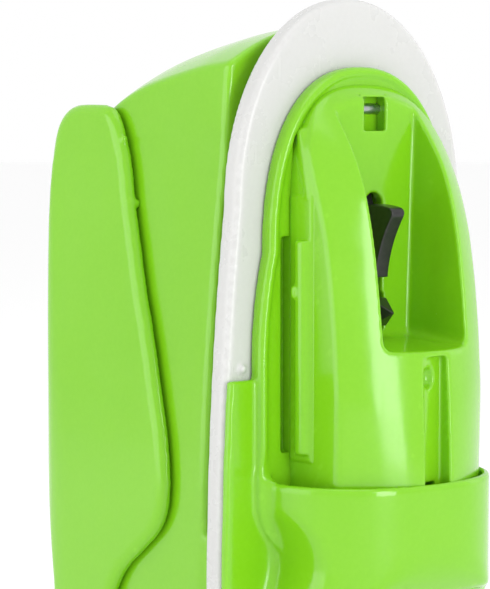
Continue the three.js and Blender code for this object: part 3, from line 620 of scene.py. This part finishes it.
def cutter_hook_field(g):
    """A fin with a hollow front edge, on an arm that ends in a yoke round the pin."""
    out = PLATE_Y - g.y
    across = np.abs(g.x)
    shape = Outline(ahead(0.8), 111.2).line(ahead(2.1), 111.2).line(ahead(2.1), 105).line(ahead(2.8), 102.9)
    shape.bend(ahead(5.2), 103.2, ahead(8.2), 102.6).bend(ahead(9.0), 102.2, ahead(8.6), 101.4)
    shape.bend(ahead(6), 97.6, ahead(5.6), 93.4).line(ahead(3.9), 93.4).line(ahead(1.8), 99.5)
    arm = meet(shape.line(ahead(0.8), 105).field(g.y, g.z), across - 1.15, r=0.18)
    strap = slab(out, 0.8, 2.1)
    bridge = meet(strap, across - 3.7, slab(g.z, 109.4, 111.6), r=0.18)
    eye = fuse(tube_field(g.y, g.z, PIN_AT, 1.3), meet(strap, slab(g.z, 110, 115)), r=0.4)
    plates = meet(eye, slab(across, 2.95, 3.7), r=0.15)
    bore = tube_field(g.y, g.z, PIN_AT, 0.8)
    return carve(fuse(arm, bridge, plates, r=0.3), bore)


def cutter_tooth_field(g):
    """A four-sided point that stands out of its recess."""
    shape = Outline(ahead(2), 86.6).line(ahead(4.9), 86.9).line(ahead(7.9), 88.8).line(ahead(4.9), 90.6)
    shape.line(ahead(2), 90.8)
    out = PLATE_Y - g.y
    taper = (np.abs(g.x) - 1.5 + np.maximum(out - 4.9, 0) * 0.45) * 0.9
    return meet(shape.field(g.y, g.z), taper, r=0.12)


# ---- Materials: object coordinates are the frame's own metres, so texture sizes are real ----


class Recipe:
    """A Principled material and the few nodes that its recipes share."""

    def __init__(self, name, **constants):
        self.material = bpy.data.materials.new(name)
        self.material.use_nodes = True
        self.tree = self.material.node_tree
        self.tree.nodes.clear()
        self.shader = self.node("ShaderNodeBsdfPrincipled")
        out = self.node("ShaderNodeOutputMaterial")
        self.link(self.shader.outputs["BSDF"], out.inputs["Surface"])
        self.place = self.node("ShaderNodeTexCoord").outputs["Object"]
        for socket, value in constants.items():
            self.shader.inputs[socket.replace("_", " ")].default_value = value

    def node(self, kind, **settings):
        made = self.tree.nodes.new(kind)
        for key, value in settings.items():
            setattr(made, key, value)
        return made

    def link(self, source, target):
        self.tree.links.new(source, target)

    def stretch(self, x, y, z):
        """Object coordinates scaled along each axis."""
        made = self.node("ShaderNodeMapping")
        made.inputs["Scale"].default_value = (x, y, z)
        self.link(self.place, made.inputs["Vector"])
        return made.outputs["Vector"]

    def noise(self, size_mm, detail=2.0, rough=0.5, place=None, seed=0.0):
        """Noise whose patches are about size_mm across."""
        made = self.node("ShaderNodeTexNoise", noise_dimensions="4D")
        made.inputs["Scale"].default_value = 1000 / size_mm if place is None else 1.0
        made.inputs["Detail"].default_value = detail
        made.inputs["Roughness"].default_value = rough
        made.inputs["W"].default_value = seed
        self.link(place or self.place, made.inputs["Vector"])
        return made.outputs["Fac"]

    def cells(self, size_mm):
        """Distance from the middles of cells about size_mm across."""
        made = self.node("ShaderNodeTexVoronoi", voronoi_dimensions="4D")
        made.inputs["Scale"].default_value = 1000 / size_mm
        self.link(self.place, made.inputs["Vector"])
        return made.outputs["Distance"]

    def remap(self, value, low, high, to_low, to_high):
        made = self.node("ShaderNodeMapRange")
        self.link(value, made.inputs["Value"])
        for key, number in (("From Min", low), ("From Max", high), ("To Min", to_low), ("To Max", to_high)):
            made.inputs[key].default_value = number
        return made.outputs["Result"]

    def math(self, operation, a, b):
        made = self.node("ShaderNodeMath", operation=operation)
        for socket, value in zip(made.inputs, (a, b)):
            if isinstance(value, (int, float)):
                socket.default_value = value
            else:
                self.link(value, socket)
        return made.outputs[0]

    def colours(self, amount, first, second):
        """A mix from the first colour to the second; either may be a colour or a socket."""
        made = self.node("ShaderNodeMix", data_type="RGBA")
        self.link(amount, made.inputs["Factor"])
        for socket, value in ((made.inputs[6], first), (made.inputs[7], second)):
            if isinstance(value, tuple):
                socket.default_value = (*value, 1)
            else:
                self.link(value, socket)
        return made.outputs[2]

    def edges(self):
        """1 on convex edges, 0 elsewhere."""
        return self.remap(self.node("ShaderNodeNewGeometry").outputs["Pointiness"], 0.52, 0.6, 0, 1)

    def along(self, axis):
        made = self.node("ShaderNodeSeparateXYZ")
        self.link(self.place, made.inputs["Vector"])
        return made.outputs[axis]

    def colour(self, socket):
        self.link(socket, self.shader.inputs["Base Color"])

    def rough(self, socket):
        self.link(socket, self.shader.inputs["Roughness"])

    def bump(self, *layers):
        """Each layer is a height socket and its depth in millimetres."""
        normal = None
        for height, depth_mm in layers:
            made = self.node("ShaderNodeBump")
            made.inputs["Strength"].default_value = 1.0
            made.inputs["Distance"].default_value = depth_mm * MM
            self.link(height, made.inputs["Height"])
            if normal is not None:
                self.link(normal, made.inputs["Normal"])
            normal = made.outputs["Normal"]
        self.link(normal, self.shader.inputs["Normal"])


def moulded(name, colour, deep, pale, gloss, seed, wave=0.05, grain=0.004, **constants):
    """Moulded plastic: faint flow marks in its colour, satin smudges on the gloss, edges paler as wear and
    painted highlight.
    """
    m = Recipe(name, **constants)
    flow = m.noise(22, 3, 0.55, seed=seed)
    fine = m.noise(0.6, 2, seed=seed + 3)
    tone = m.colours(m.remap(flow, 0.3, 0.7, 0, 1), deep, colour)
    tone = m.colours(m.remap(fine, 0.35, 0.75, 0, 0.25), tone, pale)
    # Convex edges lightened towards the pale tone: partly wear, partly a painted edge highlight.
    m.colour(m.colours(m.math("MULTIPLY", m.edges(), 0.5), tone, pale))
    smudge = m.remap(m.noise(9, 5, 0.65, seed=seed + 7), 0.45, 0.7, 0, 1)
    hairs = m.remap(m.noise(1, 1, place=m.stretch(1400, 1400, 60), seed=seed + 5), 0.62, 0.75, 0, 0.06)
    m.rough(m.math("ADD", m.remap(smudge, 0, 1, gloss, gloss + 0.09), hairs))
    m.bump((m.noise(14, 1, seed=seed + 11), wave), (m.noise(0.45, 2, seed=seed + 13), grain))
    return m.material


def metal(name, colour, dull_colour, gloss, seed, pitch=0.06):
    """Drawn or turned metal: fine lines along X, a pitch in millimetres apart, and dull patches."""
    m = Recipe(name, Metallic=1.0)
    fine = 1000 / pitch
    lines = m.noise(1, 2, place=m.stretch(1000 / (pitch * 40), fine, fine), seed=seed)
    dull = m.remap(m.noise(2.2, 4, 0.6, seed=seed + 3), 0.4, 0.7, 0, 1)
    m.colour(m.colours(m.math("MULTIPLY", dull, 0.6), colour, dull_colour))
    m.rough(m.math("ADD", m.remap(dull, 0, 1, gloss, gloss + 0.14), m.remap(lines, 0.3, 0.7, 0, 0.1)))
    m.bump((lines, 0.002), (m.noise(0.3, 2, seed=seed + 9), 0.002))
    return m.material


lime = moulded(
    "lime_abs", (0.188, 0.505, 0.008), (0.176, 0.485, 0.006), (0.22, 0.55, 0.018), 0.13, 1.0,
    IOR=1.48, Subsurface_Weight=0.12, Subsurface_Radius=(0.6, 1.0, 0.25), Subsurface_Scale=0.0015,
    Coat_Weight=0.12, Coat_Roughness=0.06,
)
white = moulded(
    "white_abs", (0.55, 0.55, 0.54), (0.53, 0.53, 0.52), (0.61, 0.61, 0.6), 0.26, 21.0,
    wave=0.03, grain=0.006, IOR=1.52,
    Subsurface_Weight=0.15, Subsurface_Radius=(1.0, 0.95, 0.85), Subsurface_Scale=0.0015,
)
dark = moulded(
    "dark_acetal", (0.012, 0.012, 0.011), (0.008, 0.008, 0.008), (0.045, 0.045, 0.042), 0.28, 41.0,
    wave=0.015, IOR=1.48,
)
nylon = moulded(
    "beige_nylon", (0.6, 0.53, 0.4), (0.52, 0.45, 0.32), (0.7, 0.64, 0.5), 0.42, 61.0, grain=0.01,
    IOR=1.5, Subsurface_Weight=0.2, Subsurface_Radius=(1.0, 0.8, 0.5), Subsurface_Scale=0.001,
)
steel = metal("bright_steel", (0.56, 0.58, 0.6), (0.3, 0.31, 0.33), 0.22, 3.0)
brass = metal("plated_brass", (0.72, 0.55, 0.26), (0.46, 0.33, 0.15), 0.25, 9.0, 0.1)


def silicone_material():
    """Red rubber with a bloom of pale dust."""
    m = Recipe("red_silicone", IOR=1.41, Sheen_Weight=0.25, Sheen_Roughness=0.5)
    dust = m.remap(m.noise(1.1, 6, 0.7, seed=2), 0.5, 0.8, 0, 1)
    m.colour(m.colours(dust, (0.34, 0.045, 0.03), (0.42, 0.13, 0.1)))
    m.rough(m.remap(dust, 0, 1, 0.5, 0.72))
    m.bump((m.noise(0.5, 3, seed=5), 0.01), (m.noise(6, 1, seed=6), 0.06))
    return m.material


def ceramic_material():
    """Unglazed ceramic with dark specks and brown grime."""
    m = Recipe("fired_ceramic", IOR=1.6)
    speck = m.remap(m.cells(0.5), 0.1, 0.22, 1, 0)
    grime = m.remap(m.noise(3, 4, seed=8), 0.4, 0.75, 0, 0.7)
    m.colour(m.colours(speck, m.colours(grime, (0.72, 0.68, 0.6), (0.55, 0.47, 0.36)), (0.4, 0.36, 0.3)))
    m.rough(m.remap(m.noise(0.4, 3), 0.3, 0.7, 0.55, 0.8))
    m.bump((m.noise(0.3, 4, seed=9), 0.02))
    return m.material


def weave(m, pitch_mm):
    """Plain weave of threads along X and Z, as a height."""
    heights = []
    for axis in ("X", "Z"):
        wave = m.math("SINE", m.math("MULTIPLY", m.along(axis), 2 * math.pi * 1000 / pitch_mm), 0)
        heights.append(m.math("ABSOLUTE", wave, 0))
    return m.math("MAXIMUM", *heights)


def film_material():
    """Coated glass cloth, browned by heat."""
    m = Recipe("ptfe_glass_film", IOR=1.4, Coat_Weight=0.2, Coat_Roughness=0.3)
    thread = weave(m, 0.7)
    stain = m.remap(m.noise(5, 4, seed=4), 0.4, 0.75, 0, 1)
    tan = m.colours(thread, (0.3, 0.19, 0.08), (0.44, 0.31, 0.15))
    m.colour(m.colours(m.math("MULTIPLY", stain, 0.4), tan, (0.2, 0.11, 0.04)))
    m.rough(m.remap(thread, 0, 1, 0.5, 0.3))
    m.bump((thread, 0.03))
    return m.material


def board_material():
    """Green solder mask over copper tracks."""
    m = Recipe("circuit_laminate", IOR=1.55, Coat_Weight=0.4, Coat_Roughness=0.12)
    track = m.node("ShaderNodeTexBrick", offset=0.5, squash=1.0)
    m.link(m.stretch(420, 420, 1), track.inputs["Vector"])
    track.inputs["Scale"].default_value = 1.0
    track.inputs["Mortar Size"].default_value = 0.07
    track.inputs["Brick Width"].default_value = 2.4
    track.inputs["Row Height"].default_value = 0.55
    m.colour(m.colours(track.outputs["Fac"], (0.015, 0.12, 0.045), (0.03, 0.24, 0.08)))
    m.rough(m.remap(m.noise(2, 4), 0.3, 0.7, 0.22, 0.36))
    m.bump((track.outputs["Fac"], 0.03), (m.noise(0.5, 2), 0.006))
    return m.material


def cell_material():
    """A dry cell's plain sleeve: dark below a coppery band, with a printed line between."""
    m = Recipe("cell_sleeve", IOR=1.5, Metallic=0.55, Coat_Weight=0.6, Coat_Roughness=0.08)
    height = m.along("Z")
    band = m.remap(height, 0.0415, 0.0418, 0, 1)
    line = m.math("MULTIPLY", m.remap(height, 0.0402, 0.0404, 0, 1), m.remap(height, 0.0409, 0.0411, 1, 0))
    sleeve = m.colours(band, (0.03, 0.032, 0.04), (0.5, 0.26, 0.1))
    m.colour(m.colours(line, sleeve, (0.75, 0.75, 0.72)))
    m.rough(m.remap(m.noise(6, 4), 0.35, 0.7, 0.2, 0.34))
    m.bump((m.noise(8, 2, seed=3), 0.03), (m.noise(0.6, 3), 0.004))
    return m.material


silicone, ceramic, film = silicone_material(), ceramic_material(), film_material()
laminate, sleeve = board_material(), cell_material()

# ---- Turned pins, the field pieces, and the kept parts' materials ----


def turned(name, rows, origin, axis, sides=64):
    """A closed mesh turned from (along, radius) points about an axis through the origin, in mm."""
    bm = bmesh.new()
    axis, origin = Vector(axis).normalized(), Vector(origin)
    side = axis.orthogonal().normalized()
    up = axis.cross(side)
    rings = []
    for along, radius in rows:
        middle = origin + axis * along
        if radius < 1e-6:
            rings.append([bm.verts.new(middle * MM)])
            continue
        ring = []
        for i in range(sides):
            angle = 2 * math.pi * i / sides
            away = side * math.cos(angle) + up * math.sin(angle)
            ring.append(bm.verts.new((middle + away * radius) * MM))
        rings.append(ring)
    for a, b in zip(rings, rings[1:]):
        for i in range(sides):
            j = (i + 1) % sides
            quad = [a[i % len(a)], a[j % len(a)], b[j % len(b)], b[i % len(b)]]
            face = list(dict.fromkeys(quad))
            if len(face) > 2:
                bm.faces.new(face)
    bmesh.ops.recalc_face_normals(bm, faces=bm.faces)
    mesh = bpy.data.meshes.new(name)
    bm.to_mesh(mesh)
    bm.free()
    mesh.shade_smooth()
    mesh.set_sharp_from_angle(angle=math.radians(38))
    return mesh


def settle(mesh, limit=170000):
    """Thins a dense mesh out where it is flat, down to a number of triangles."""
    triangles = 2 * len(mesh.polygons)
    if triangles <= limit:
        return mesh
    thin = new_object(mesh.name + "_dense", mesh)
    modifier = thin.modifiers.new("thin", "DECIMATE")
    modifier.ratio = limit / triangles
    graph = bpy.context.evaluated_depsgraph_get()
    made = bpy.data.meshes.new_from_object(thin.evaluated_get(graph))
    made.name = mesh.name
    bpy.data.objects.remove(thin)
    made.shade_smooth()
    return made


def shell_piece(node, field, body, material, step):
    """A piece from its distance field, sampled every step millimetres over its node's box."""
    low, high = (np.array(corner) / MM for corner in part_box(node))
    grid = Grid(low, high, step)
    mesh = settle(net_mesh(node + "_look", grid, field(grid)))
    add_piece(node, mesh, body, material)


shell_piece("front_shell", front_shell_field, "casing", lime, 0.34)
shell_piece("cutter_housing", cutter_housing_field, "casing", lime, 0.24)
shell_piece("mid_plate", mid_plate_field, "casing", white, 0.3)
shell_piece("rear_shell", rear_shell_field, "casing", lime, 0.42)
shell_piece("battery_cover", battery_cover_field, "cover", lime, 0.3)
shell_piece("squeeze_lever", squeeze_lever_field, "lever", lime, 0.36)
shell_piece("cutter_hook", cutter_hook_field, "hook", dark, 0.12)
shell_piece("cutter_tooth", cutter_tooth_field, "casing", dark, 0.1)


def pin_piece(node, body, chamfer):
    """A turned steel pin along X with chamfered ends, in its node's box."""
    low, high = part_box(node)
    half, radius = (high.x - low.x) / 2 / MM, (high.z - low.z) / 2 / MM
    rows = [
        (-half, 0), (-half, radius - chamfer), (-half + chamfer, radius), (half - chamfer, radius),
        (half, radius - chamfer), (half, 0),
    ]
    mesh = turned(node + "_look", rows, (low + high) / 2 / MM, (1, 0, 0))
    add_piece(node, mesh, body, steel)


pin_piece("hook_pin", "casing", 0.12)
pin_piece("lever_pin", "casing", 0.3)

KEPT = {
    "silicone_pad": silicone, "hook_spring": steel, "lever_spring": steel, "carriage_spring_left": steel,
    "carriage_spring_right": steel, "heater_carriage": nylon, "heater_bar": ceramic, "heating_element": steel,
    "release_film": film, "battery_left": sleeve, "battery_right": sleeve, "battery_contact_top": brass,
    "battery_contact_bottom": brass, "circuit_board": laminate, "trigger_switch": dark,
    "case_screw_1": steel, "case_screw_2": steel, "case_screw_3": steel, "case_screw_4": steel,
    "head_screw_1": steel, "head_screw_2": steel,
}
for node, material in KEPT.items():
    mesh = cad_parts[node].data
    mesh.materials.clear()
    mesh.materials.append(material)

# ---- Floor, world and lights ----

LIT_PLACE = Vector((0, 0, 0.08))  # the object's middle, which the lights face


def make_floor():
    """A wide disc of white paper under the foot."""
    bm = bmesh.new()
    bmesh.ops.create_circle(bm, cap_ends=True, radius=6, segments=96)
    mesh = bpy.data.meshes.new("floor")
    bm.to_mesh(mesh)
    bm.free()
    floor = new_object("floor", mesh)
    m = Recipe("floor_paper", IOR=1.3)
    grain = m.noise(2, 3)
    m.colour(m.colours(grain, (0.96, 0.96, 0.96), (0.98, 0.98, 0.98)))
    m.rough(m.remap(grain, 0, 1, 0.75, 0.85))
    mesh.materials.append(m.material)


def make_world(strength):
    world = bpy.data.worlds.new("studio")
    world.use_nodes = True
    world.node_tree.nodes["Background"].inputs["Color"].default_value = (1, 1, 1, 1)
    world.node_tree.nodes["Background"].inputs["Strength"].default_value = strength
    bpy.context.scene.world = world


def soft_box(name, azimuth, elevation, distance, width, height, power):
    """A rectangular light that faces the object's middle."""
    data = bpy.data.lights.new(name, "AREA")
    data.shape = "RECTANGLE"
    data.size, data.size_y = width, height
    data.energy = power
    aim(new_object(name, data), LIT_PLACE, azimuth, elevation, distance)


make_floor()
make_world(1.0)
soft_box("key_left", -112, 12, 0.7, 0.6, 0.5, 1.5)
soft_box("front_strip", -2, 10, 0.8, 0.26, 0.5, 2.7)
soft_box("right_fill", 70, 15, 0.9, 0.3, 0.5, 0.3)
soft_box("overhead", -40, 80, 0.8, 0.5, 0.5, 0.9)

bpy.context.scene.view_settings.view_transform = "Standard"
